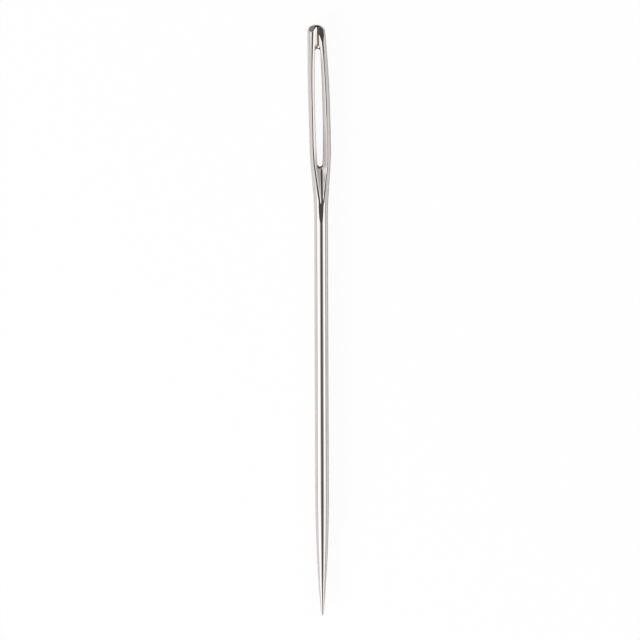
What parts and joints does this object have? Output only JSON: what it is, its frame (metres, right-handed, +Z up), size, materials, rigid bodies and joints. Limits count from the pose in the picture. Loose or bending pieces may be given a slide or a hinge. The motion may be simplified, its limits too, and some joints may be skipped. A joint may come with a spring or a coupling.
{
  "type": "large eye needle",
  "caption": "Hand-sewing needle of polished steel wire with a tapered point, a flattened head, a long open eye and thread gutters leading into it on both faces.",
  "frame": {"origin": "middle of the needle's box, on the surface that it lies on", "axes": "+Y along the needle from the point to the head, +Z up through the eye, +X across the head"},
  "size_m": [0.0024, 0.06, 0.0015],
  "materials": {
    "plated_steel": "nickel-plated steel, tumbled and polished"
  },
  "bodies": {
    "root": {"needle": "plated_steel"}
  },
  "joints": []
}
